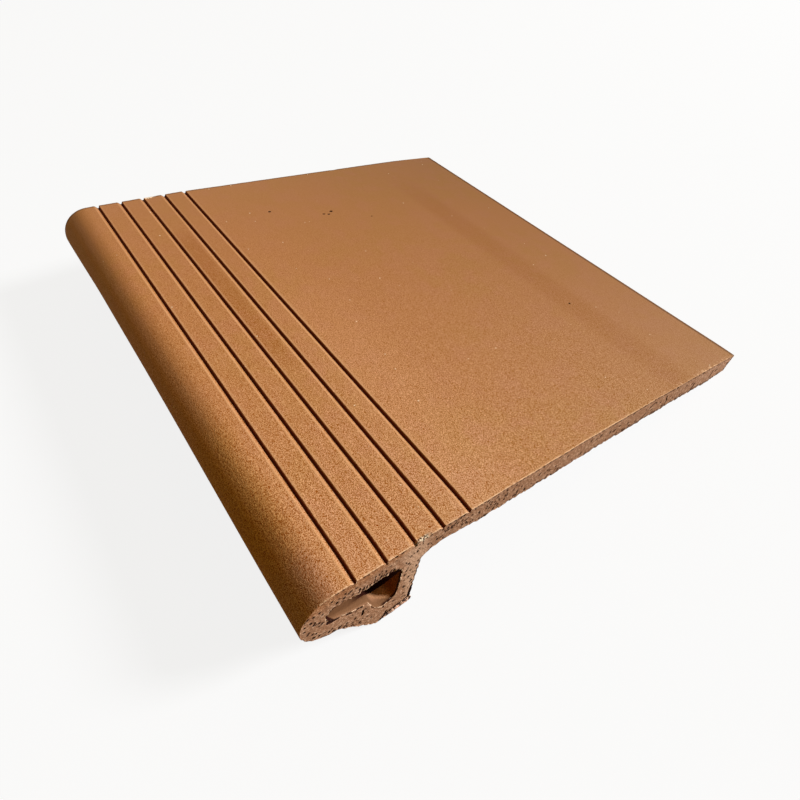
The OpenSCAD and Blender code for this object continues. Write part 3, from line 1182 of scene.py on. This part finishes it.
# Painted highlights: on the groove lips, fading towards the far end, and on the top arris, where its worn
# edge catches the light. The crumbs and flecks are the clay's own.
for mask, over in ((mark("lip") * x.ramp(-0.15, 0.0, 0.25, 0.6), LIP_HIGHLIGHT),
                   (arris * (0.8 - backward * 0.6), ARRIS), (flecks * 0.8, CREAM), (crumbly * 0.8, ARRIS)):
    skin = colour(mask, skin, over)
dull = rows(289.3, 290.6).most(x.fade(-0.1488, -0.1478)) * -0.5
# Painted shade: the bottom and steep rear flank of each groove are painted near black.
skin = colour(mark("groove"), tinted(skin, dull, dull, dull), SHADE)
print("marks on the skin ready")

# %% [markdown]
# Inside the hollow, light and shade are painted into the clay. It is painted browner and darker than the
# skin, paler just inside the slot's mouth and deeper in the well, paler again where the lamp's shadow
# falls on the well's floor, darker under the roof and on the rear wall, and black under the roof's edge,
# at the lip of the well and in the slot's tip.

# %% Clay: inside the hollow
TUNNEL, TUNNEL_DEEP, TUNNEL_SHADE = (0.245, 0.112, 0.050, 1), (0.38, 0.18, 0.09, 1), (0.10, 0.035, 0.010, 1)
DIM_FLOOR, GLOOM, BLACK = (0.85, 0.42, 0.20, 1), (0.34, 0.085, 0.007, 1), (0.03, 0.004, 0.001, 1)
CUT, CUT_PALE, PIT = (0.48, 0.24, 0.132, 1), (0.84, 0.52, 0.34, 1), (0.022, 0.005, 0.002, 1)
inner, under = back.ramp(0.0315, 0.0355), mark("under")
# Painted shade: black at the well's lip, under the roof's edge and in the slot's tip.
lip_shade = edge.fade(0.0007, 0.0016) * back.ramp(0.0375, 0.0400)
roof_shade = (under - edge * 0.45).ramp(-0.0020, -0.0008) * back.ramp(0.022, 0.030)
tip_shade = (back * 0.9 + edge * 1.1 + crumbs * 0.0016).fade(0.0143, 0.0151)
# Painted light and shade: the lining is painted darker than the skin, and paler deeper in the well.
lining = colour(inner * edge.ramp(0.0020, 0.0050), TUNNEL, TUNNEL_DEEP)
# Painted light just inside the slot's mouth and on the well's floor in the lamp's shadow, and painted shade
# under the roof, on the rear wall and in the black places.
for mask, over in ((edge.fade(0.0004, 0.0013) * (1 - inner) * 0.5, CUT),
                   (under.ramp(-0.0040, -0.0002) * (1 - inner) * 0.5, TUNNEL_SHADE),
                   ((edge * 1.71 + back).ramp(0.0440, 0.0470) * inner * 0.8, DIM_FLOOR),
                   (back.ramp(0.0415, 0.0450), GLOOM),
                   (lip_shade.most(roof_shade).most(tip_shade), BLACK)):
    lining = colour(mask, lining, over)
skin = colour(mark("tunnel"), skin, lining)
print("lining ready")

# %% [markdown]
# A cut face is pinkish and crumbly, paler on the web behind the hollow and towards the rear, more orange
# just under the top, and cream where it broke. A pale burr with a painted highlight runs round the
# hollow's mouth and along the top arris, and the lower ragged arris has painted shade. Pits and cracks
# are painted nearly black inside, as painted shade.

# %% Clay: cut faces
RIM, SHADED_LOW_EDGE, CRUMB = (1.0, 0.70, 0.46, 1), (0.16, 0.075, 0.04, 1), (0.96, 0.62, 0.46, 1)
face = colour(crumbs.ramp(0.46, 0.72), CUT, CUT_PALE)
face = colour(strip(42, 47, 52, 59) * 0.75, face, CUT_PALE)
top_band = height.ramp(0.048, 0.053) * rows(45, 60, 1.0, 0.0)
at_back = rows(225, 285)
face = tinted(face, at_back * 0.20, at_back * 0.27 - top_band * 0.14, at_back * 0.38 - top_band * 0.30)
# Painted shade on the lower ragged arrises, a painted highlight on the rim round the hollow's mouth and the
# top arris, and painted shade in pits and cracks. The crumbs and flake are the clay's own.
for mask, over in ((low_arris.most(far_low), SHADED_LOW_EDGE),
                   (mark("rim").ramp(0.3, 0.8).most(face_arris * (1 - backward * 0.8)), RIM),
                   (mark("torn") * grit.ramp(0.38, 0.5), CRUMB), (flake * grit.ramp(0.38, 0.5), CREAM),
                   (mark("torn") * crumbs.fade(0.46, 0.52), PIT), (flake * specks.fade(0.40, 0.45), PIT),
                   (sunk.most(mark("gash") * at_end), PIT)):
    face = colour(mask, face, over)
print("cut faces ready")

# %% [markdown]
# Both are put together. Fired clay is matt all over, and a little bump stands in for the grains that
# are too small for the mesh.

# %% Clay: shader
# Painted shade: sunk places on the skin are painted dark as well.
base = colour(sunk * (1 - opened), colour(opened, skin, face), PIT)
relief = coarse * (sand * 0.06 + grit * 0.25) * (1 - opened) + opened * crumbs * 0.5
bump = add(tree, "ShaderNodeBump", {}, {"Strength": 1.0, "Distance": 0.001, "Height": relief})
shader = add(tree, "ShaderNodeBsdfPrincipled", {}, {
    "Base Color": base, "Roughness": 0.82 + 0.1 * mottle, "Specular IOR Level": 0.12, "Normal": bump})
add(tree, "ShaderNodeOutputMaterial", {}, {"Surface": shader})
print("clay ready")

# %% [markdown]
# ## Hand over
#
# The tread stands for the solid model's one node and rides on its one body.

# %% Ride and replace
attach(tread, BODY)
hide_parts(NODE)
